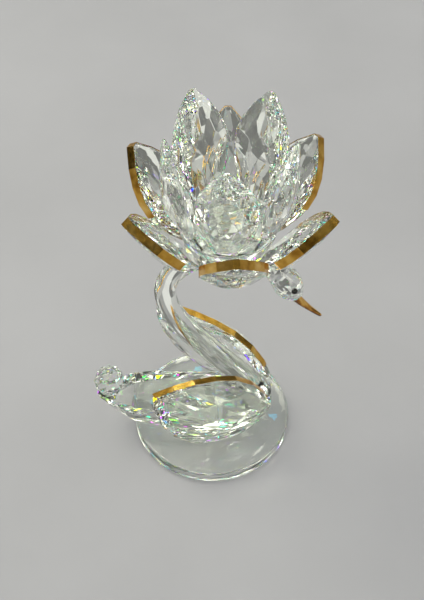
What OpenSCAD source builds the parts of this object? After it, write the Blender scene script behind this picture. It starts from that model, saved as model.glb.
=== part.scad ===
// Crystal glass swan with a lotus candle holder on its arched neck.
// Every piece is cut crystal that is glued flat to the next one; nothing moves.
// The origin is the centre of the base disc's underside. +Z is up, the swan
// looks along +X, and +Y is the swan's left.

/* [Base disc] */
// Diameter of the round base disc
base_d = 100; // [90:1:120]
// Thickness of the base disc
base_t = 9; // [6:0.5:12]
// Width of the ground chamfer on the disc's two rims
base_chamfer = 0.9; // [0.5:0.1:2]

/* [Body] */
// Height of the flat top of the body above the table
deck_z = 30.5; // [28:0.5:34]
// Length of the body from the tail tip to the origin
tail_length = 73; // [68:1:78]
// Diameter of the cut ball on the tail
ball_d = 20; // [16:1:24]

/* [Wings] */
// Thickness of the wing's flat edge band
wing_edge = 4; // [3:0.5:6]
// How far the cut outer side stands out past the edge band
wing_bulge = 7; // [5:0.5:9]
// How far the flat inner side stands in past the edge band
wing_inset = 2; // [1:0.5:3]
// Angle in plan between a wing and the swan's length
wing_spread = 22.5; // [18:0.5:26]
// Lean of a wing, bottom outwards
wing_lean = 5; // [0:0.5:8]

/* [Neck] */
// Radius of the glass rod where it stands on the body
rod_root_r = 7.6; // [6.5:0.1:8]
// Radius of the glass rod at the top of its arch
rod_r = 5.8; // [5.2:0.1:6.4]
// Radius of the head
head_r = 8.6; // [8:0.1:9.5]
// Radius of the beak where it leaves the head
beak_r = 3; // [2.5:0.1:4]
// Diameter of the eye beads
eye_d = 3.7; // [2:0.1:4]

/* [Lotus] */
// Distance of the lotus axis in front of the origin
lotus_x = 9; // [6:0.5:12]
// Height of the flat underside of the hub
hub_z = 160; // [159.6:0.1:160.4]
// Distance from the lotus axis to the hub's flat sides
hub_flat_r = 21.5; // [20:0.5:23]
// Diameter of the candle dish
dish_d = 54; // [52:1:56]
// Diameter of the recess that locates the candle cup
seat_d = 39; // [37:0.5:39]
// Length of an outer petal
outer_length = 62.4; // [60:0.1:66]
// Width of an outer petal
outer_width = 36; // [32:0.5:37]
// Tilt of an outer petal above the horizontal
outer_tilt = 55; // [52:0.5:58]
// How far the cut back of an outer petal stands out past its edge band
outer_depth = 6; // [5:0.5:9]
// Length of an inner petal
inner_length = 68.7; // [64:0.1:70]
// Width of an inner petal
inner_width = 34; // [30:0.5:36]
// Tilt of an inner petal above the horizontal
inner_tilt = 79.5; // [78:0.5:82]
// Turn of the ring of inner petals, clockwise from above
inner_turn = 3; // [0:1:6]
// Thickness of the flat edge band of a petal
petal_edge = 5; // [4:0.5:6]
// Thickness of the gilding on the edge bands
gilt_t = 0.3; // [0.2:0.05:0.5]
// Bare glass between an outer petal's root and its gilding
gilt_start = 26; // [9:0.5:32]

/* [Hidden] */
$fn = 96;
far = 200;

crystal = [0.88, 0.93, 0.92, 0.45];
gold = [0.80, 0.58, 0.18];

// ---- shared shapes ----

// A cut stone: the convex solid that holds all the given points.
module stone(points) {
    hull() polyhedron(points = points, faces = [[for (i = [0:len(points) - 1]) i]]);
}

// Half width of a petal at a distance u from its root.
function petal_half(u, length, width, wide) =
    let (tip = 1.6, root = 6,
         rise = u > wide ? (length - u) / (length - wide) : u / wide,
         end = u > wide ? tip : root)
    end + (width / 2 - end) * pow(max(sin(90 * rise), 0), 0.9);

// Outline of a petal with the given number of steps along each side,
// shrunk by a scale about its middle, and lifted to height w.
function petal_ring(steps, length, width, shrink, w) =
    let (wide = 0.5 * length,
         side = [for (k = [0:steps])
             let (u = length * k / steps)
             [petal_half(u, length, width, wide), u]])
    [for (s = [1, -1]) for (p = side)
        [s * shrink * p[0], wide + shrink * (p[1] - wide), w]];

// One petal in its own frame: root at the origin, tip along +Y, inner side +Z.
module petal(length, width, depth, table) {
    half_edge = petal_edge / 2;
    stone(concat(
        petal_ring(edge_steps, length, width, 1, half_edge),
        petal_ring(edge_steps, length, width, 1, -half_edge),
        petal_ring(3, length, width, 0.7, half_edge + table),
        petal_ring(4, length, width, 0.72, -half_edge - 0.58 * depth),
        petal_ring(3, length, width, 0.42, -half_edge - depth)));
}

// Puts a petal on the lotus: azimuth round the axis, root point, tilt.
module on_lotus(azimuth, root_r, root_z, tilt) {
    translate([lotus_x, 0, 0])
        rotate([0, 0, azimuth])
            translate([root_r, 0, root_z])
                rotate([0, 0, -90])
                    rotate([tilt, 0, 0])
                        children();
}

// ---- base ----

module base_disc() {
    r = base_d / 2;
    c = base_chamfer;
    color(crystal)
        rotate_extrude($fn = 180)
            polygon([[0, 0], [r - c, 0], [r, c], [r, base_t - c], [r - c, base_t], [0, base_t]]);
}

// ---- body and tail ----

// Stations along the body: x, half width of the deck, half width and height
// of the widest line, half width and height of the lower facets, half width
// and height of the keel.
stations = [
    [-tail_length, 3, 4, 29, 3.5, 28, 1.5, 27],
    [-62, 9, 11.5, 28, 8, 20, 3.5, 14],
    [-50, 14, 16.5, 27, 12.5, 14, 6, base_t],
    [-37, 15.5, 18.6, 25.5, 15, 12.5, 8, base_t],
    [-21, 14, 18.6, 23, 15.5, 12, 9, base_t],
    [-5, 12.5, 19.4, 22, 16, 12, 9, base_t],
    [8, 11.4, 19.8, 24, 15.5, 12, 8.5, base_t],
    [22, 10, 15.5, 25, 12, 12, 7, base_t],
    [32, 8.5, 11.5, 25, 8, 12.5, 4, base_t + 1],
    [38, 5.5, 7.5, 24, 4, 15, 2, 14]
];

module body() {
    points = [for (s = stations) for (side = [1, -1]) each [
        [s[0], side * s[1], deck_z],
        [s[0], side * s[2], s[3]],
        [s[0], side * s[4], s[5]],
        [s[0], side * s[6], s[7]]]];
    color(crystal)
        difference() {
            stone(points);
            wing_side() wing_inner_space();
            mirror([0, 1, 0]) wing_side() wing_inner_space();
        }
}

// A cut ball: rings of a regular polygon, each turned half a step.
module tail_ball() {
    r = ball_d / 2;
    sides = 10;
    color(crystal)
        intersection() {
            translate([-65, 0, deck_z + 0.95 * r])
                stone([for (k = [-2:2]) for (i = [0:sides - 1])
                    let (lat = 36 * k, lon = (i + (abs(k) % 2) / 2) * 360 / sides)
                    r * [cos(lat) * cos(lon), cos(lat) * sin(lon), sin(lat)]]);
            translate([-far, -far, deck_z]) cube([2 * far, 2 * far, far]);
        }
}

// ---- wings ----

// Right wing's frame: X runs backwards from the front end, Y runs up,
// and Z points at the body.
wing_front_x = 38;
wing_front_y = 14;

module wing_side() {
    translate([wing_front_x, -wing_front_y, 0])
        rotate([0, 0, 180 + wing_spread])
            rotate([90 + wing_lean, 0, 0])
                children();
}

// Outline of the wing: distance back from the front end, and height.
wing_outline = [
    [0, 31], [4, 43.5], [12, 56], [23, 65.5], [36, 71], [50, 73.8], [63, 74.5], [76, 73.5],
    [76.5, 60], [73, 46], [66, 33], [56, 22.5], [44, 16.5], [30, 14], [17, 15], [6, 21.5]
];
wing_mid = [38, 43];

function wing_ring(shrink, w) =
    [for (p = wing_outline)
        [wing_mid[0] + shrink * (p[0] - wing_mid[0]), wing_mid[1] + shrink * (p[1] - wing_mid[1]), w]];

// Everything on the body's side of the plane of the wing's inner face is
// kept by the body; this is the space beyond that plane.
module wing_inner_space() {
    translate([-far, -far, -far]) cube([2 * far, 2 * far, far + wing_edge / 2 + wing_inset]);
}

// The cut of the outer side: a grid of flat square facets on a cushion.
module wing_cushion() {
    top = -wing_edge / 2 - wing_bulge;
    steps = 6;
    grid = [for (i = [0:steps]) for (j = [0:steps])
        let (a = 2 * i / steps - 1, b = 2 * j / steps - 1)
        [wing_mid[0] + 48 * a, wing_mid[1] + 40 * b, top + 5.5 * a * a + 5.5 * b * b]];
    back = [for (a = [-1, 1]) for (b = [-1, 1])
        [wing_mid[0] + 48 * a, wing_mid[1] + 40 * b, 20]];
    stone(concat(grid, back));
}

module wing_solid() {
    half_edge = wing_edge / 2;
    intersection() {
        stone(concat(
            wing_ring(1, half_edge),
            wing_ring(1, -half_edge),
            wing_ring(0.8, half_edge + wing_inset),
            wing_ring(0.84, -half_edge - 0.7 * wing_bulge),
            wing_ring(0.5, -half_edge - 1.2 * wing_bulge)));
        wing_cushion();
    }
}

// The gilding covers the upper edge from the front end to the rear corner.
module wing_gilt_solid() {
    translate([0, 0, -wing_edge / 2])
        linear_extrude(wing_edge)
            intersection() {
                difference() {
                    offset(delta = gilt_t) polygon(wing_outline);
                    polygon(wing_outline);
                }
                polygon([[3, 40], [-far, 60], [-far, far], [76, far], [76, 60]]);
            }
}

module wing_right() {
    color(crystal) wing_side() wing_solid();
}

module wing_left() {
    mirror([0, 1, 0]) wing_right();
}

module wing_right_gilding() {
    color(gold) wing_side() wing_gilt_solid();
}

module wing_left_gilding() {
    mirror([0, 1, 0]) wing_right_gilding();
}

// ---- neck and head ----

// Where the beak starts on the rod, and how far it points below the horizontal.
beak_x = 48.8;
beak_z = 120.6;
beak_drop = 56;

// Centre line of the drawn rod in the plane y = 0: x, z and radius.
rod_path = [
    [31, 20, rod_root_r], [30.5, 30, rod_root_r], [23, 41.5, rod_root_r], [8, 60, 7.5],
    [-6, 79, 7.2], [-19, 98, 6.8], [-26, 116, 6.5], [-26, 133, 6.4],
    [-15, 148.5, 6.2], [3, 155.2, rod_r], [20, 153.8, rod_r], [31.5, 147, 5.6],
    [37.8, 140.5, 6.9], [43.4, 132.5, head_r], [47.2, 125.3, 6.6], [beak_x, beak_z, beak_r],
    [50.3, 117.8, 2.5]
];

// One point of a smooth curve through the path, at t between points i and i + 1.
function rod_at(i, t) =
    let (last = len(rod_path) - 1,
         a = rod_path[max(i - 1, 0)], b = rod_path[i],
         c = rod_path[min(i + 1, last)], d = rod_path[min(i + 2, last)])
    0.5 * (2 * b + (c - a) * t + (2 * a - 5 * b + 4 * c - d) * t * t
        + (3 * b - a - 3 * c + d) * t * t * t);

// A rod swept in the plane y = 0 through points of x, z and radius.
module swept_rod(points, sides) {
    last = len(points) - 1;
    rings = [for (k = [0:last])
        let (p = points[k],
             ahead = points[min(k + 1, last)] - points[max(k - 1, 0)],
             run = norm([ahead[0], ahead[1]]),
             nx = -ahead[1] / run, nz = ahead[0] / run)
        for (i = [0:sides - 1])
            let (turn = 360 * i / sides)
            [p[0] + p[2] * cos(turn) * nx, p[2] * sin(turn), p[1] + p[2] * cos(turn) * nz]];
    skin = [for (k = [0:last - 1]) for (i = [0:sides - 1])
        let (j = (i + 1) % sides, a = k * sides)
        each [[a + i, a + j, a + sides + i], [a + j, a + sides + j, a + sides + i]]];
    ends = [[for (i = [0:sides - 1]) sides - 1 - i], [for (i = [0:sides - 1]) last * sides + i]];
    polyhedron(points = rings, faces = concat(skin, ends));
}

rod_steps = 4;
rod_points = [for (i = [0:len(rod_path) - 2]) for (k = [0:rod_steps - 1]) rod_at(i, k / rod_steps)];

// The space just beyond the plane where the beak is fused to the head.
module beak_side() {
    reach = 40;
    translate([beak_x, 0, beak_z])
        rotate([0, 90 + beak_drop, 0])
            translate([-reach / 2, -reach / 2, 0])
                cube(reach);
}

module neck_and_head() {
    color(crystal)
        difference() {
            intersection() {
                swept_rod(concat(rod_points, [rod_path[len(rod_path) - 1]]), 24);
                translate([-far, -far, deck_z]) cube([2 * far, 2 * far, hub_z - deck_z]);
            }
            beak_side();
            eye_bead(1);
            eye_bead(-1);
        }
}

module beak() {
    color([0.72, 0.45, 0.10])
        intersection() {
            swept_rod([[46.8, 124, 3.8], [beak_x, beak_z, beak_r], [52.5, 116, 2.4],
                [57.3, 110.9, 1.75], [62, 106.4, 1.3], [64.2, 104.4, 1], [64.9, 103.7, 0.5]], 16);
            beak_side();
        }
}

// An eye is a black bead sunk halfway into the head.
module eye_bead(side) {
    translate([47.2, side * 7.5, 133.8]) sphere(d = eye_d, $fn = 32);
}

module eye(side) {
    color([0.03, 0.03, 0.03]) eye_bead(side);
}

module eye_left() {
    eye(1);
}

module eye_right() {
    eye(-1);
}

// ---- lotus ----

dish_t = 6;
hub_t = 16;
dish_z = hub_z + hub_t;
seat_depth = 1;
floor_z = dish_z + dish_t;

module lotus_hub() {
    color(crystal)
        translate([lotus_x, 0, hub_z])
            cylinder(h = hub_t, r = hub_flat_r / cos(30), $fn = 6);
}

module candle_dish() {
    r = dish_d / 2;
    color(crystal)
        translate([lotus_x, 0, dish_z])
            rotate_extrude()
                polygon([[0, 0], [r - 3, 0], [r, 2.5], [r, dish_t - 0.6], [r - 0.6, dish_t],
                    [seat_d / 2, dish_t], [seat_d / 2, dish_t - seat_depth], [0, dish_t - seat_depth]]);
}

// How far the cut faces of the petals stand out past their edge bands.
inner_depth = 7;
inner_table = 2;
outer_table = 2.5;
// Straight steps along each side of a petal's outline.
edge_steps = 7;
inner_root_r = 22.3;
outer_root_r = 23;
outer_root_z = hub_z + 3;

// The petals are glued on by hand: how far each one is turned and tilted away
// from its even place in the ring.
inner_turns = [0, 0, 4, 0, 0];
inner_leans = [0, 0, 1, 0, 0];
outer_turns = [5, 0, 4, 1, 3, 1];
outer_leans = [-1.5, 0, 1, -2.5, -2, -2.5];

module outer_place(k) {
    on_lotus(30 + 60 * k + outer_turns[k], outer_root_r, outer_root_z, outer_tilt + outer_leans[k])
        children();
}

module inner_petal(k) {
    color(crystal)
        intersection() {
            on_lotus(54 - inner_turn + 72 * k + inner_turns[k], inner_root_r, floor_z,
                    inner_tilt + inner_leans[k])
                petal(inner_length, inner_width, inner_depth, inner_table);
            translate([-far, -far, floor_z]) cube(2 * far);
        }
}

module outer_petal(k) {
    color(crystal)
        intersection() {
            outer_place(k) petal(outer_length, outer_width, outer_depth, outer_table);
            translate([lotus_x, 0, 0])
                rotate([0, 0, 30 + 60 * k])
                    translate([hub_flat_r, -far, 0]) cube(2 * far);
        }
}

module petal_gilding(k) {
    color(gold)
        outer_place(k)
            translate([0, 0, -petal_edge / 2])
                linear_extrude(petal_edge)
                    intersection() {
                        difference() {
                            offset(delta = gilt_t) petal_outline();
                            petal_outline();
                        }
                        translate([-far / 2, gilt_start]) square(far);
                    }
}

module petal_outline() {
    ring = petal_ring(edge_steps, outer_length, outer_width, 1, 0);
    right = [for (k = [0:edge_steps]) [ring[k][0], ring[k][1]]];
    left = [for (k = [edge_steps:-1:0]) [-right[k][0], right[k][1]]];
    polygon(concat(right, left));
}

base_disc();
body();
tail_ball();
wing_left();
wing_right();
wing_left_gilding();
wing_right_gilding();
neck_and_head();
beak();
eye_left();
eye_right();
lotus_hub();
candle_dish();
inner_petal(0);  // inner_petal_1
inner_petal(1);  // inner_petal_2
inner_petal(2);  // inner_petal_3
inner_petal(3);  // inner_petal_4
inner_petal(4);  // inner_petal_5
outer_petal(0);  // outer_petal_1
outer_petal(1);  // outer_petal_2
outer_petal(2);  // outer_petal_3
outer_petal(3);  // outer_petal_4
outer_petal(4);  // outer_petal_5
outer_petal(5);  // outer_petal_6
petal_gilding(0);  // petal_gilding_1
petal_gilding(1);  // petal_gilding_2
petal_gilding(2);  // petal_gilding_3
petal_gilding(3);  // petal_gilding_4
petal_gilding(4);  // petal_gilding_5
petal_gilding(5);  // petal_gilding_6
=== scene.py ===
import math

import bmesh
import bpy
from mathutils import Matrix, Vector


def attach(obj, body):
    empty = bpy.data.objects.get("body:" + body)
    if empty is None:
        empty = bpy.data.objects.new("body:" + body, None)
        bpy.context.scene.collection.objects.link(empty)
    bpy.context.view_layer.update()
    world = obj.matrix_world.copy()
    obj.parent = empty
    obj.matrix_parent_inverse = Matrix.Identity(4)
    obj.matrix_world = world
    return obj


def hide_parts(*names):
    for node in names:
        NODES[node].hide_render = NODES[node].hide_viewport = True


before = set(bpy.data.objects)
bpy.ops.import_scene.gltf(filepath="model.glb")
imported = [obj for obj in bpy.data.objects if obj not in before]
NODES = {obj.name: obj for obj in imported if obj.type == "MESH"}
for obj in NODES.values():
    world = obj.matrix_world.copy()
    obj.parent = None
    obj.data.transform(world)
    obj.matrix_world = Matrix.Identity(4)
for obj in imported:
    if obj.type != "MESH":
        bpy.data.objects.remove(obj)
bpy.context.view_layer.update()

# Crystal swan with a lotus candle holder: the visible glass, gilding and
# beads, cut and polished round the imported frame, then the floor, light and
# camera. Metres throughout, +Z up, the swan looks along +X.

MM = 0.001
UP = Vector((0, 0, 1))

# Sizes that the frame's pieces share, in millimetres.
PETAL_EDGE = 5
PETALS = {
    # table: how far it stands over the edge; star: its facets' slopes, across and along;
    # tip: how far the back's bowl rises towards the tip, in depths.
    "inner": {"count": 5, "length": 68.7, "width": 34, "depth": 7,
              "table": 2, "star": (0.13, 0.17), "tip": 1.22},
    "outer": {"count": 6, "length": 62.4, "width": 36, "depth": 6,
              "table": 2.5, "star": (0.15, 0.09), "tip": 1.0},
}
WING_LENGTH = 74.5
WING_EDGE = 4
WING_INSET = 2
DISC_D = 100
DISC_T = 9
DECK_Z = 30.5
HUB_Z = 160
DISH_X = 9
DISH_Z = (176, 182)
DISH_D = 54
SEAT_D = 39
SEAT_DEPTH = 1
# Where the beak starts, (x, z), and how many degrees it points down.
BEAK_AT = (48.8, 120.6)
BEAK_DROP = 56

# Glued pieces are drawn apart by this much, so that no two faces lie in one plane.
GLUE_LINE = 0.04 * MM
CRYSTAL_IOR = 1.56


# ---------------------------------------------------------------- materials

def new_material(name):
    """A node material with one Principled shader; returns it, its tree and the shader."""
    material = bpy.data.materials.new(name)
    material.use_nodes = True
    tree = material.node_tree
    return material, tree, tree.nodes["Principled BSDF"]


def set_inputs(node, values):
    for socket, value in values.items():
        node.inputs[socket].default_value = value


def add_node(tree, kind, values=None, **settings):
    node = tree.nodes.new(kind)
    for key, value in settings.items():
        setattr(node, key, value)
    set_inputs(node, values or {})
    return node


def noise(tree, scale, detail=3.0, stretch=(1, 1, 1)):
    """Noise in object space, as a 0..1 value."""
    place = tree.nodes.new("ShaderNodeTexCoord")
    mapping = add_node(tree, "ShaderNodeMapping", {"Scale": stretch})
    texture = add_node(tree, "ShaderNodeTexNoise", {"Scale": scale, "Detail": detail})
    tree.links.new(place.outputs["Object"], mapping.inputs["Vector"])
    tree.links.new(mapping.outputs["Vector"], texture.inputs["Vector"])
    return texture.outputs["Fac"]


def ramp(tree, value, stops):
    """A colour ramp over value; stops are (place, colour or grey)."""
    node = tree.nodes.new("ShaderNodeValToRGB")
    elements = node.color_ramp.elements
    while len(elements) < len(stops):
        elements.new(1.0)
    for element, (place, colour) in zip(elements, stops):
        element.position = place
        element.color = (colour, colour, colour, 1) if isinstance(colour, float) else (*colour, 1)
    tree.links.new(value, node.inputs["Fac"])
    return node.outputs["Color"]


def math_node(tree, operation, a, b):
    """A sum, product or test of two values, each a number or a socket."""
    node = add_node(tree, "ShaderNodeMath", operation=operation)
    for socket, value in zip(node.inputs, (a, b)):
        if isinstance(value, (int, float)):
            socket.default_value = value
        else:
            tree.links.new(value, socket)
    return node.outputs[0]


def bump(tree, shader, height, distance, strength=1.0):
    """Raises the surface by distance, in metres, where height is 1."""
    node = add_node(tree, "ShaderNodeBump", {"Distance": distance, "Strength": strength})
    tree.links.new(height, node.inputs["Height"])
    tree.links.new(node.outputs["Normal"], shader.inputs["Normal"])


def crystal_material(name, tint, smudge):
    """Polished lead crystal: clear, with faint polishing waves and smudges."""
    material, tree, shader = new_material(name)
    set_inputs(shader, {"Base Color": (*tint, 1), "Transmission Weight": 1.0, "IOR": CRYSTAL_IOR})
    smear = ramp(tree, noise(tree, 55), [(0.50, 0.0), (0.80, smudge)])
    tree.links.new(smear, shader.inputs["Roughness"])
    bump(tree, shader, noise(tree, 90, 2.0), 0.00002)
    return material


def gold_material():
    """Fired gold lustre: bright, browner where it is thin, with fine brush marks."""
    material, tree, shader = new_material("gold_lustre")
    set_inputs(shader, {"Metallic": 1.0})
    colour = ramp(tree, noise(tree, 140, 4.0), [
        (0.30, (0.40, 0.19, 0.025)), (0.50, (0.70, 0.40, 0.07)), (0.72, (0.90, 0.60, 0.18))])
    tree.links.new(colour, shader.inputs["Base Color"])
    gloss = ramp(tree, noise(tree, 400), [(0.3, 0.15), (0.7, 0.24)])
    tree.links.new(gloss, shader.inputs["Roughness"])
    bump(tree, shader, noise(tree, 900), 0.00003, 0.4)
    return material


def beak_material():
    """Amber-gold lustre over the drawn glass beak, in streaks to its tip, with painted shade underneath and
    painted light on top.
    """
    material, tree, shader = new_material("beak_lustre")
    set_inputs(shader, {"Metallic": 1.0, "Coat Weight": 0.6, "Coat Roughness": 0.04})
    streaks = noise(tree, 120, 4.0, (1, 6, 1))
    # Painted shade and light: the colour is pushed darker where the surface faces down and lighter where it
    # faces up.
    place = tree.nodes.new("ShaderNodeTexCoord")
    facing = tree.nodes.new("ShaderNodeSeparateXYZ")
    tree.links.new(place.outputs["Normal"], facing.inputs["Vector"])
    side = add_node(tree, "ShaderNodeMapRange", {
        "From Min": -0.35, "From Max": 0.95, "To Min": -0.3, "To Max": 0.3})
    tree.links.new(facing.outputs["Z"], side.inputs["Value"])
    streaks_and_painted_shade = math_node(tree, "ADD", streaks, side.outputs["Result"])
    colour = ramp(tree, streaks_and_painted_shade, [
        (0.22, (0.07, 0.018, 0.002)), (0.42, (0.40, 0.15, 0.015)),
        (0.62, (0.80, 0.43, 0.07)), (0.85, (0.95, 0.66, 0.22))])
    tree.links.new(colour, shader.inputs["Base Color"])
    gloss = ramp(tree, noise(tree, 300), [(0.3, 0.10), (0.7, 0.2)])
    tree.links.new(gloss, shader.inputs["Roughness"])
    return material


def eye_material():
    """A glossy black bead."""
    material, tree, shader = new_material("black_bead")
    colour = ramp(tree, noise(tree, 600), [(0.3, (0.004, 0.004, 0.005)), (0.7, (0.016, 0.014, 0.013))])
    tree.links.new(colour, shader.inputs["Base Color"])
    gloss = ramp(tree, noise(tree, 900), [(0.3, 0.03), (0.7, 0.10)])
    tree.links.new(gloss, shader.inputs["Roughness"])
    return material


CRYSTAL = crystal_material("cut_crystal", (0.968, 0.982, 0.952), 0.03)
ROD_GLASS = crystal_material("drawn_glass", (0.955, 0.968, 0.945), 0.03)
DISC_GLASS = crystal_material("disc_glass", (0.965, 0.985, 0.965), 0.03)
GOLD = gold_material()
BEAK = beak_material()
EYE = eye_material()


# --------------------------------------------------------------- cut stones

# An edge sharper than this gets a bevel, of the width in BEVELS.
SHARP = math.radians(3)
BEVELS = {"petal": 0.3, "wing": 0.45, "flute": 0.25, "body": 0.3, "tail_ball": 0.15, "lotus_hub": 0.8}
# The petal's crown facets: their lean to the table, and how deep each second one goes.
CROWN_LIFT = 0.9
CROWN_DEPTHS = (0.75, 0.25)
BACK_ROWS = 8
# The wing's outer side: its grid of facets, and the bowl that they touch (low, rise, reach, centre).
WING_COLUMNS, WING_ROWS = 6, 4
WING_PITCH = (12.6, 13.4)
WING_BOWL = (-8.6, (6.4, 6.4), (40, 30, 30), (0, 43))
# The wing's flutes: where they fan out from, (first, step) in degrees, and how deep they get at reach.
FLUTE_ROOT = (46, 4)
FLUTE_TURNS = (3, 5.2)
FLUTE_COUNT = 15
FLUTE_REACH = 76
FLUTE_DEPTH = {"left": 0.7, "right": 0.3}


def node_bmesh(node):
    """The CAD node's mesh as whole flat facets."""
    bm = bmesh.new()
    bm.from_mesh(NODES[node].data)
    bmesh.ops.remove_doubles(bm, verts=bm.verts, dist=0.002 * MM)
    bmesh.ops.dissolve_limit(bm, angle_limit=math.radians(0.6), verts=bm.verts, edges=bm.edges)
    bmesh.ops.recalc_face_normals(bm, faces=bm.faces)
    return bm


def whole(faces):
    """The faces with their corners and edges, each once and in a fixed order."""
    verts = dict.fromkeys(v for f in faces for v in f.verts)
    edges = dict.fromkeys(e for f in faces for e in f.edges)
    return [*verts, *edges, *faces]


def cut(bm, point, normal):
    """Grinds one flat facet: takes off what lies past the plane and closes the cut."""
    geom = bm.verts[:] + bm.edges[:] + bm.faces[:]
    bmesh.ops.bisect_plane(bm, geom=geom, dist=1e-7, plane_co=point, plane_no=normal, clear_outer=True)
    rim = [e for e in bm.edges if len(e.link_faces) == 1]
    if rim:
        bmesh.ops.holes_fill(bm, edges=rim, sides=0)
        bmesh.ops.recalc_face_normals(bm, faces=bm.faces)


def polish_edges(bm, width, merge=None):
    """Breaks every edge of a cut stone with a fine polished bevel; corners closer than merge become one."""
    bmesh.ops.remove_doubles(bm, verts=bm.verts, dist=merge or 2.2 * width)
    bmesh.ops.dissolve_degenerate(bm, dist=1e-6, edges=bm.edges)
    bmesh.ops.dissolve_limit(bm, angle_limit=math.radians(0.3), verts=bm.verts, edges=bm.edges)
    edges = [e for e in bm.edges if len(e.link_faces) == 2 and e.calc_face_angle(0) > SHARP]
    bmesh.ops.bevel(bm, geom=edges, offset=width, segments=1, profile=0.5, affect="EDGES", clamp_overlap=True)


def finish_piece(bm, name, node, material, smooth_angle=None):
    """Turns bm into an object that stands for a CAD node, its skin drawn in by half a glue line."""
    bm.normal_update()
    inwards = [(vert, vert.normal * GLUE_LINE / 2) for vert in bm.verts]
    for vert, step in inwards:
        vert.co -= step
    mesh = bpy.data.meshes.new(name)
    bm.to_mesh(mesh)
    bm.free()
    mesh.materials.append(material)
    made = bpy.data.objects.new(name, mesh)
    bpy.context.scene.collection.objects.link(made)
    if smooth_angle is not None:
        mesh.shade_smooth()
        mesh.set_sharp_from_angle(angle=math.radians(smooth_angle))
    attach(made, "root")
    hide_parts(node)


class Stone:
    """A cut stone's mesh with its own axes in millimetres: v across, u to the tip, w out of its table."""

    def __init__(self, node, length, table_w):
        self.bm = node_bmesh(node)
        table = max(self.bm.faces, key=lambda f: f.calc_area())
        self.w = table.normal.copy()
        self.u = (UP - self.w * UP.dot(self.w)).normalized()
        self.v = self.u.cross(self.w)
        spots = [vert.co for vert in self.bm.verts]
        across = [p.dot(self.v) for p in spots]
        along = [p.dot(self.u) for p in spots]
        middle = (max(across) + min(across)) / 2
        root = max(along) - length * MM
        level = table.calc_center_median().dot(self.w) - table_w * MM
        self.origin = self.v * middle + self.u * root + self.w * level

    def at(self, v, u, w):
        """The point at (v, u, w), in the scene's metres."""
        return self.origin + (self.v * v + self.u * u + self.w * w) * MM

    def way(self, v, u, w):
        """The direction (v, u, w), in the scene's axes."""
        return (self.v * v + self.u * u + self.w * w).normalized()

    def facet(self, point, normal):
        """Grinds one facet through point, facing normal, both in the stone's axes."""
        cut(self.bm, self.at(*point), self.way(*normal))


def bowl_facets(stone, low, rise, reach, centre, spots, power=2):
    """Grinds facets on the -w side, each tangent to one shallow bowl whose lowest w is low.
    It rises by rise = (across, along) at reach = (across, to the root, to the tip)."""
    for v, u in spots:
        length = reach[2] if u > 0 else reach[1]
        way = math.copysign(1, u)
        height = low + rise[0] * (v / reach[0]) ** 2 + rise[1] * (abs(u) / length) ** power
        slope_v = 2 * rise[0] * v / reach[0] ** 2
        slope_u = way * power * rise[1] * abs(u) ** (power - 1) / length ** power
        stone.facet((centre[0] + v, centre[1] + u, height), (slope_v, slope_u, -1))


def crown(stone, lift, depths):
    """Breaks the table's edge with a ring of facets, alternately deep and shallow."""
    table = max(stone.bm.faces, key=lambda f: f.calc_area())
    rim = []
    for loop in table.loops:
        beside = [f for f in loop.edge.link_faces if f is not table][0]
        middle = (loop.edge.verts[0].co + loop.edge.verts[1].co) / 2
        rim.append((middle.copy(), (beside.normal + stone.w * lift).normalized()))
    for k, (middle, normal) in enumerate(rim):
        cut(stone.bm, middle - stone.w * depths[k % 2] * MM, normal)


def petal(kind, k):
    """A lotus petal: large star facets on its inner side, a lattice of small ones on its back."""
    size = PETALS[kind]
    node = f"{kind}_petal_{k}"
    length, half, depth = size["length"], size["width"] / 2, size["depth"]
    edge = PETAL_EDGE / 2
    table = edge + size["table"]
    stone = Stone(node, length, table)

    crown(stone, CROWN_LIFT, CROWN_DEPTHS)

    # Star facets: two that meet in a ridge below the tip, two above the root, two at the sides.
    ridge, foot, beside = 0.36 * length, 0.20 * length, (0.62 * half, 0.50 * length)
    foot_slope, side_slope = (0.20, -0.10), 0.30
    for side in (1, -1):
        stone.facet((0, length - ridge, table), (side * size["star"][0], size["star"][1], 1))
        stone.facet((0, foot, table), (side * foot_slope[0], foot_slope[1], 1))
        stone.facet((side * beside[0], beside[1], table), (side * side_slope, 0.0, 1))

    # The back: staggered rows of facets round a shallow bowl, steeper towards the tip.
    middle = 0.38 * length
    pitch = length / BACK_ROWS
    step = 0.44 * half
    spots = []
    for row in range(BACK_ROWS):
        u = (row + 0.5) * pitch - middle
        count = 4 if row % 2 else 5
        spots += [((i - (count - 1) / 2) * step, u) for i in range(count)]
    rise = (1.06 * depth, size["tip"] * depth)
    reach = (half, 1.3 * middle, length - middle)
    bowl_facets(stone, -edge - depth, rise, reach, (0, middle), spots, 1.5)

    polish_edges(stone.bm, BEVELS["petal"] * MM)
    finish_piece(stone.bm, f"{node}_cut", node, CRYSTAL)


def flutes(stone, root, reach, turns, depth):
    """Long shallow flutes over the table: it is split along rays that fan out from root,
    and every second ray is sunk, by depth at reach."""
    table = max(stone.bm.faces, key=lambda f: f.calc_area())
    level = table.calc_center_median().dot(stone.w)
    centre = stone.at(*root, 0)
    rays = []
    for turn in turns:
        across = stone.way(-math.sin(turn), math.cos(turn), 0)
        top = [f for f in stone.bm.faces if all(abs(v.co.dot(stone.w) - level) < 1e-6 for v in f.verts)]
        made = bmesh.ops.bisect_plane(stone.bm, geom=whole(top), dist=1e-6, plane_co=centre, plane_no=across)
        rays.append([v for v in made["geom_cut"] if isinstance(v, bmesh.types.BMVert)])
    for ends, turn in list(zip(rays, turns))[::2]:
        along = stone.way(math.cos(turn), math.sin(turn), 0)
        for vert in ends:
            share = (vert.co - centre).dot(along) / (reach * MM)
            vert.co -= stone.w * depth * MM * min(1.0, max(0.0, share))
    bmesh.ops.connect_verts_nonplanar(stone.bm, angle_limit=math.radians(0.5), faces=stone.bm.faces[:])


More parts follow.
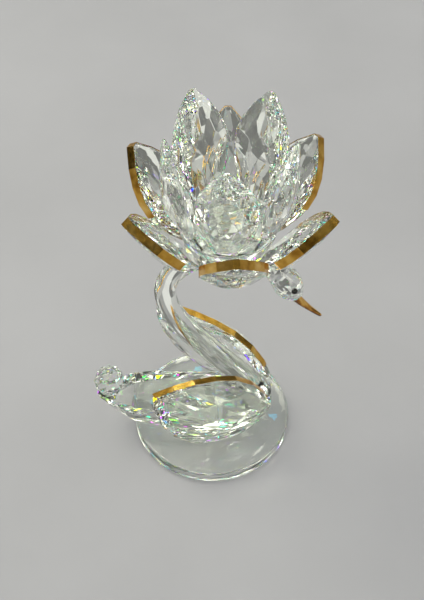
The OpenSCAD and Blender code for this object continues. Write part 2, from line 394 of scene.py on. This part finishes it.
def wing(side):
    """A wing: long feather flutes inside, a cushion of square facets outside."""
    node = f"wing_{side}"
    stone = Stone(node, WING_LENGTH, WING_EDGE / 2 + WING_INSET)
    spots = [((i - (WING_COLUMNS - 1) / 2) * WING_PITCH[0], (j - (WING_ROWS - 1) / 2) * WING_PITCH[1])
             for i in range(WING_COLUMNS) for j in range(WING_ROWS)]
    bowl_facets(stone, *WING_BOWL, spots)
    polish_edges(stone.bm, BEVELS["wing"] * MM, 1.6 * MM)

    # The flutes fan out from the wing's root, which is at one end of its lower edge.
    back = stone.v.x < 0
    root_v, root_u = FLUTE_ROOT
    turns = [math.radians(FLUTE_TURNS[0] + FLUTE_TURNS[1] * k) for k in range(FLUTE_COUNT)]
    flutes(stone, (-root_v if back else root_v, root_u), FLUTE_REACH,
           turns if back else [math.pi - turn for turn in turns], FLUTE_DEPTH[side])
    stone.bm.normal_update()
    ridges = [e for e in stone.bm.edges if len(e.link_faces) == 2 and e.calc_face_angle(0) > SHARP
              and all(f.normal.dot(stone.w) > 0.95 for f in e.link_faces)]
    bmesh.ops.bevel(stone.bm, geom=ridges, offset=BEVELS["flute"] * MM, segments=1, profile=0.5,
                    affect="EDGES", clamp_overlap=True)
    finish_piece(stone.bm, f"{node}_cut", node, CRYSTAL)


def plain_stone(node):
    """A CAD stone as it is, with its edges broken."""
    bm = node_bmesh(node)
    polish_edges(bm, BEVELS[node] * MM)
    finish_piece(bm, f"{node}_cut", node, CRYSTAL)


def carried(node, material):
    """A CAD node that is shown as it is, with a better material."""
    mesh = NODES[node].data
    mesh.materials.clear()
    mesh.materials.append(material)


# ------------------------------------------------------------- round pieces

def lathe(profile, centre, sides):
    """A closed solid round a vertical axis at centre; profile is (radius, z) from axis to axis, in mm."""
    bm = bmesh.new()
    rings = []
    for r, z in profile:
        if r == 0:
            rings.append([bm.verts.new((centre[0] * MM, centre[1] * MM, z * MM))])
            continue
        ring = []
        for i in range(sides):
            t = 2 * math.pi * i / sides
            x, y = centre[0] + r * math.cos(t), centre[1] + r * math.sin(t)
            ring.append(bm.verts.new((x * MM, y * MM, z * MM)))
        rings.append(ring)
    for low, high in zip(rings, rings[1:]):
        for i in range(sides):
            j = (i + 1) % sides
            corners = [low[i % len(low)], low[j % len(low)], high[j % len(high)], high[i % len(high)]]
            bm.faces.new(list(dict.fromkeys(corners)))
    bmesh.ops.recalc_face_normals(bm, faces=bm.faces)
    return bm


def rounded(points, radius, steps=4):
    """The same outline with its corners rounded; points on the axis stay as they are."""
    out = [points[0]]
    for a, b, c in zip(points, points[1:], points[2:]):
        into, away = Vector(a) - Vector(b), Vector(c) - Vector(b)
        reach = min(radius, 0.45 * into.length, 0.45 * away.length)
        start, end = Vector(b) + into.normalized() * reach, Vector(b) + away.normalized() * reach
        for k in range(steps + 1):
            t = k / steps
            out.append(tuple(start * (1 - t) ** 2 + Vector(b) * 2 * t * (1 - t) + end * t ** 2))
    return out + [points[-1]]


def base_disc():
    """The round foot, with a bevelled and polished rim."""
    r, t, bevel = DISC_D / 2, DISC_T, 1.2
    profile = [(0, 0), (r - bevel, 0), (r, bevel), (r, t - bevel), (r - bevel, t), (0, t)]
    bm = lathe(rounded(profile, 0.8), (0, 0), 256)
    finish_piece(bm, "base_disc_polished", "base_disc", DISC_GLASS, 20)


def candle_dish():
    """The floor of the lotus, with the shallow seat for the candle."""
    low, high = DISH_Z
    r, seat, floor_z = DISH_D / 2, SEAT_D / 2, high - SEAT_DEPTH
    profile = [(0, low), (r - 3, low), (r, low + 2.5), (r, high - 0.6), (r - 0.6, high),
               (seat, high), (seat, floor_z), (0, floor_z)]
    bm = lathe(rounded(profile, 0.5), (DISH_X, 0), 192)
    finish_piece(bm, "candle_dish_polished", "candle_dish", DISC_GLASS, 20)


def smooth_path(points, steps):
    """A smooth curve through points of (x, z, radius), steps to a stretch."""
    out = []
    last = len(points) - 1
    for i in range(last):
        a, b, c, d = (Vector(points[min(max(k, 0), last)]) for k in (i - 1, i, i + 1, i + 2))
        for k in range(steps):
            t = k / steps
            out.append(0.5 * (2 * b + (c - a) * t + (2 * a - 5 * b + 4 * c - d) * t * t
                              + (3 * b - a - 3 * c + d) * t * t * t))
    return out + [Vector(points[-1])]


def tube(path, sides):
    """A closed tube in the plane y = 0 round points of (x, z, radius) in mm."""
    bm = bmesh.new()
    rings = []
    for k, (x, z, r) in enumerate(path):
        ahead = path[min(k + 1, len(path) - 1)] - path[max(k - 1, 0)]
        out = Vector((-ahead[1], ahead[0])).normalized()
        ring = []
        for i in range(sides):
            turn = 2 * math.pi * i / sides
            away, aside = r * math.cos(turn), r * math.sin(turn)
            ring.append(bm.verts.new((Vector((x + away * out[0], aside, z + away * out[1])) * MM)))
        rings.append(ring)
    for low, high in zip(rings, rings[1:]):
        for i in range(sides):
            j = (i + 1) % sides
            bm.faces.new((low[i], low[j], high[j], high[i]))
    bm.faces.new(rings[0])
    bm.faces.new(rings[-1])
    bmesh.ops.recalc_face_normals(bm, faces=bm.faces)
    return bm


# The plane where the beak meets the head: a point on it and its normal.
BEAK_PLANE = (Vector((BEAK_AT[0], 0, BEAK_AT[1])) * MM,
              Vector((math.cos(math.radians(BEAK_DROP)), 0, -math.sin(math.radians(BEAK_DROP)))))
# Points of (x, z, radius) along the swan's neck and head, and along its beak.
ROD_PATH = [
    (31, 20, 7.6), (30.5, 30, 7.6), (23, 41.5, 7.6), (8, 60, 7.5), (-6, 79, 7.2), (-19, 98, 6.8),
    (-26, 116, 6.5), (-26, 133, 6.4), (-15, 148.5, 6.2), (3, 155.2, 5.8), (20, 153.8, 5.8),
    (31.5, 147, 5.6), (37.8, 140.5, 6.9), (43.4, 132.5, 8.6), (47.2, 125.3, 6.6), (48.8, 120.6, 3),
    (50.3, 117.8, 2.5)]
BEAK_PATH = [
    (46.8, 124, 3.8), (48.8, 120.6, 3), (52.5, 116, 2.4), (57.3, 110.9, 1.75), (62, 106.4, 1.3),
    (64.2, 104.4, 1), (64.9, 103.7, 0.5)]


def neck_and_head():
    """The drawn rod, ground flat where it meets the deck, the hub and the beak."""
    bm = tube(smooth_path(ROD_PATH, 12), 64)
    cut(bm, Vector((0, 0, DECK_Z)) * MM, -UP)
    cut(bm, Vector((0, 0, HUB_Z)) * MM, UP)
    # Only the head is cut at the beak's plane, because the lower neck lies past it too.
    near = [f for f in bm.faces if f.calc_center_median().x > 0.040 and f.calc_center_median().z > 0.1]
    bmesh.ops.bisect_plane(bm, geom=whole(near), dist=1e-7, plane_co=BEAK_PLANE[0], plane_no=BEAK_PLANE[1],
                           clear_outer=True)
    rim = [e for e in bm.edges if len(e.link_faces) == 1]
    bmesh.ops.holes_fill(bm, edges=rim, sides=0)
    bmesh.ops.recalc_face_normals(bm, faces=bm.faces)
    finish_piece(bm, "neck_and_head_drawn", "neck_and_head", ROD_GLASS, 30)


def beak():
    """The drawn beak, ground flat where it meets the head."""
    bm = tube(smooth_path(BEAK_PATH, 8), 40)
    cut(bm, BEAK_PLANE[0], -BEAK_PLANE[1])
    finish_piece(bm, "beak_drawn", "beak", BEAK, 40)


for kind, size in PETALS.items():
    for k in range(1, size["count"] + 1):
        petal(kind, k)
wing("left")
wing("right")
plain_stone("body")
plain_stone("tail_ball")
plain_stone("lotus_hub")
base_disc()
candle_dish()
neck_and_head()
beak()
for node in ["eye_left", "eye_right"]:
    carried(node, EYE)
for node in NODES:
    if "gilding" in node:
        carried(node, GOLD)


# -------------------------------------------------------- floor, light, view

def mix_colour(tree, factor, first, second, blend="MIX"):
    """Mixes two colours, each a plain colour or a socket."""
    node = add_node(tree, "ShaderNodeMix", data_type="RGBA", blend_type=blend, clamp_result=False)
    for socket, value in ((node.inputs["Factor"], factor), (node.inputs[6], first), (node.inputs[7], second)):
        if isinstance(value, bpy.types.NodeSocket):
            tree.links.new(value, socket)
        elif isinstance(value, tuple):
            socket.default_value = (*value, 1)
        else:
            socket.default_value = value
    return node.outputs[2]


def cells(tree, scale, shift, space="Generated"):
    """Random cells: their random draws (three values) and the distance from their middles."""
    place = tree.nodes.new("ShaderNodeTexCoord")
    mapping = add_node(tree, "ShaderNodeMapping", {"Location": (shift, 0, 0)})
    texture = add_node(tree, "ShaderNodeTexVoronoi", {"Scale": scale})
    tree.links.new(place.outputs[space], mapping.inputs["Vector"])
    tree.links.new(mapping.outputs["Vector"], texture.inputs["Vector"])
    draw = tree.nodes.new("ShaderNodeSeparateColor")
    tree.links.new(texture.outputs["Color"], draw.inputs["Color"])
    return draw.outputs, texture.outputs["Distance"]


def stepped(tree, value, steps):
    """A ramp of flat colours; steps are (from, colour)."""
    node = tree.nodes.new("ShaderNodeValToRGB")
    node.color_ramp.interpolation = "CONSTANT"
    elements = node.color_ramp.elements
    while len(elements) < len(steps):
        elements.new(1.0)
    for element, (place, colour) in zip(elements, steps):
        element.position = place
        element.color = (*colour, 1)
    tree.links.new(value, node.inputs["Fac"])
    return node.outputs["Color"]


FLOOR_Z = -0.2 * MM
FLOOR_REACH = 12
# The painted floor shade and light start this far out, past the foot; nearer, only glass behind glass sees
# any.
PAINTED_SHADE_FROM = 0.095
MIDDLE = (0.0, 0.0, 0.12)
WARM = (1.0, 0.985, 0.88)
PALE = (0.84, 0.85, 0.86)

# Cells to a metre on the floor, near the foot and away from it, and cells across the sky.
NEAR_CELLS, FAR_CELLS = 60.0, 18.0
BROAD_CELLS, FINE_CELLS, SPARK_CELLS = 3.0, 7.5, 38.0
# The even grey card in the sky: the direction of its middle, its radius and its colour.
GREY_CARD = ((0.0, 0.585, 0.811), 0.13, (0.35, 0.35, 0.34))
# A spark: the random draw it starts at, its radius in cells, and its strength.
SPARK_FROM, SPARK_RADIUS, SPARK_STRENGTH = 0.87, 0.42, 6.0

# What cut glass sees: (from, colour) steps over a random draw, for each kind of card.
# Painted shade and light: greys darker and lighter than the plain floor, which only the glass shows.
FLOOR_PAINTED_SHADE_AND_LIGHT = [
    (0.0, (0.16, 0.16, 0.155)), (0.3, (0.34, 0.34, 0.33)),
    (0.55, (0.50, 0.50, 0.48)), (0.8, (0.78, 0.78, 0.74))]
BROAD_CARDS = [(0.0, (0.30, 0.30, 0.30)), (0.33, (0.85, 0.85, 0.82)), (0.70, (1.5, 1.5, 1.4))]
FINE_CARDS = [
    (0.0, (0.05, 0.05, 0.05)), (0.26, (0.20, 0.21, 0.20)), (0.46, (0.45, 0.46, 0.43)),
    (0.62, (0.80, 0.82, 0.72)), (0.80, (1.9, 1.9, 1.65)), (0.93, (5.5, 5.5, 4.9))]


def painted_floor_shade_and_light(tree, scale):
    """Painted shade and light on the floor: darker and lighter greys in random cells."""
    draw, _ = cells(tree, scale, 0.0, "Object")
    return stepped(tree, draw["Red"], FLOOR_PAINTED_SHADE_AND_LIGHT)


def floor_material():
    """A plain pale floor; what cut glass sees of it carries painted shade and light in grey cells, wide ones
    away from the foot and small ones near it, where only glass seen through glass shows them."""
    material, tree, shader = new_material("pale_floor")
    plain = ramp(tree, noise(tree, 7, 5.0), [(0.3, (0.45, 0.446, 0.438)), (0.7, (0.49, 0.486, 0.478))])
    place = tree.nodes.new("ShaderNodeTexCoord")
    radius = add_node(tree, "ShaderNodeVectorMath", operation="LENGTH")
    tree.links.new(place.outputs["Object"], radius.inputs[0])
    path = tree.nodes.new("ShaderNodeLightPath")
    away = math_node(tree, "GREATER_THAN", radius.outputs["Value"], PAINTED_SHADE_FROM)
    far = math_node(tree, "MULTIPLY", away, path.outputs["Is Transmission Ray"])
    # One piece of glass bends a ray twice; a fourth bend means a second piece.
    near = math_node(tree, "GREATER_THAN", path.outputs["Transmission Depth"], 3.5)
    # Painted shade and light that the glass refracts: these grey cells stand in for dark and bright facets.
    cards = mix_colour(tree, away, painted_floor_shade_and_light(tree, NEAR_CELLS), painted_floor_shade_and_light(tree, FAR_CELLS))
    seen = math_node(tree, "MAXIMUM", far, near)
    tree.links.new(mix_colour(tree, seen, plain, cards), shader.inputs["Base Color"])
    set_inputs(shader, {"Roughness": 0.8, "Specular IOR Level": 0.15})
    return material


def floor():
    """The floor, a little below the foot so that the two never lie in one plane."""
    bm = bmesh.new()
    corners = ((-1, -1), (1, -1), (1, 1), (-1, 1))
    bm.faces.new([bm.verts.new((x * FLOOR_REACH, y * FLOOR_REACH, FLOOR_Z)) for x, y in corners])
    mesh = bpy.data.meshes.new("floor")
    bm.to_mesh(mesh)
    bm.free()
    mesh.materials.append(floor_material())
    made = bpy.data.objects.new("floor", mesh)
    bpy.context.scene.collection.objects.link(made)


def area_light(name, energy, size, centre, look_at, colour):
    """A soft box at centre, turned to look_at."""
    data = bpy.data.lights.new(name, "AREA")
    data.shape = "RECTANGLE"
    data.size, data.size_y = size
    data.energy = energy
    data.color = colour
    lamp = bpy.data.objects.new(name, data)
    bpy.context.scene.collection.objects.link(lamp)
    lamp.location = centre
    lamp.rotation_euler = (Vector(look_at) - Vector(centre)).to_track_quat("-Z", "Y").to_euler()


def sky_cards(tree):
    """The black, grey and white cards and lamps that the cut glass mirrors, small ones over large
    ones, darker at the horizon, with one even grey card where the flat faces mirror the room."""
    large, _ = cells(tree, BROAD_CELLS, 0.0)
    small, _ = cells(tree, FINE_CELLS, 0.35)
    broad = stepped(tree, large["Red"], BROAD_CARDS)
    fine = stepped(tree, small["Red"], FINE_CARDS)
    cards = mix_colour(tree, 1.0, broad, fine, "MULTIPLY")
    place = tree.nodes.new("ShaderNodeTexCoord")
    split = tree.nodes.new("ShaderNodeSeparateXYZ")
    tree.links.new(place.outputs["Generated"], split.inputs["Vector"])
    horizon = add_node(tree, "ShaderNodeMapRange", {
        "From Min": 0.05, "From Max": 0.40, "To Min": 0.12, "To Max": 1.0})
    tree.links.new(split.outputs["Z"], horizon.inputs["Value"])
    shaded = mix_colour(tree, 1.0, cards, horizon.outputs["Result"], "MULTIPLY")
    apart = add_node(tree, "ShaderNodeVectorMath", operation="DISTANCE")
    tree.links.new(place.outputs["Generated"], apart.inputs[0])
    middle, radius, grey = GREY_CARD
    apart.inputs[1].default_value = middle
    near = math_node(tree, "LESS_THAN", apart.outputs["Value"], radius)
    return mix_colour(tree, near, shaded, grey)


def sky_sparks(tree):
    """Small spectral sparks, which stand for the colours that lead crystal splits off its lamps.
    Returns their colour and where they are."""
    draw, distance = cells(tree, SPARK_CELLS, 0.0)
    chosen = math_node(tree, "GREATER_THAN", draw["Red"], SPARK_FROM)
    spot = math_node(tree, "LESS_THAN", distance, SPARK_RADIUS)
    where = math_node(tree, "MULTIPLY", chosen, spot)
    base = math_node(tree, "MULTIPLY", draw["Green"], 0.72)
    spread = math_node(tree, "MULTIPLY", distance, 0.35)
    hue = math_node(tree, "ADD", base, spread)
    rainbow = add_node(tree, "ShaderNodeCombineColor", {"Green": 1.0, "Blue": SPARK_STRENGTH}, mode="HSV")
    tree.links.new(hue, rainbow.inputs["Red"])
    return rainbow.outputs["Color"], where


def set_world():
    """A pale studio; what polished glass and gold mirror is a room of cards, lamps and sparks."""
    world = bpy.data.worlds.new("studio")
    world.use_nodes = True
    tree = world.node_tree
    background = tree.nodes["Background"]
    path = tree.nodes.new("ShaderNodeLightPath")
    sparks, where = sky_sparks(tree)
    through = math_node(tree, "MULTIPLY", where, path.outputs["Is Transmission Ray"])
    room = mix_colour(tree, through, sky_cards(tree), sparks)
    mirrored = math_node(tree, "MAXIMUM", path.outputs["Is Glossy Ray"], path.outputs["Is Transmission Ray"])
    first = math_node(tree, "LESS_THAN", path.outputs["Diffuse Depth"], 0.5)
    seen = mix_colour(tree, math_node(tree, "MULTIPLY", mirrored, first), PALE, room)
    tree.links.new(seen, background.inputs["Color"])
    background.inputs["Strength"].default_value = 1.0
    bpy.context.scene.world = world


floor()
set_world()
area_light("key_softbox", 2.5, (0.45, 0.45), (-0.5, 0.3, 0.95), MIDDLE, WARM)


def set_camera():
    """A camera that looks down at 48.7 degrees, as a person does at a table."""
    data = bpy.data.cameras.new("camera")
    data.sensor_width = 36
    data.lens = 69.73
    data.clip_start = 0.01
    camera = bpy.data.objects.new("camera", data)
    bpy.context.scene.collection.objects.link(camera)
    camera.location = (0.0001, -0.4488, 0.6290)
    camera.rotation_euler = (math.radians(90 - 48.73), 0, 0)
    bpy.context.scene.camera = camera


set_camera()

# Light has to pass many facets, and rough reflections are not filtered inside the glass.
scene = bpy.context.scene
scene.cycles.use_denoising = True
scene.cycles.max_bounces = 32
scene.cycles.transmission_bounces = 28
scene.cycles.glossy_bounces = 12
scene.cycles.diffuse_bounces = 3
scene.cycles.transparent_max_bounces = 16
scene.cycles.blur_glossy = 0.0
scene.cycles.caustics_reflective = True
scene.cycles.caustics_refractive = True
scene.cycles.sample_clamp_indirect = 8.0
scene.view_settings.view_transform = "Standard"
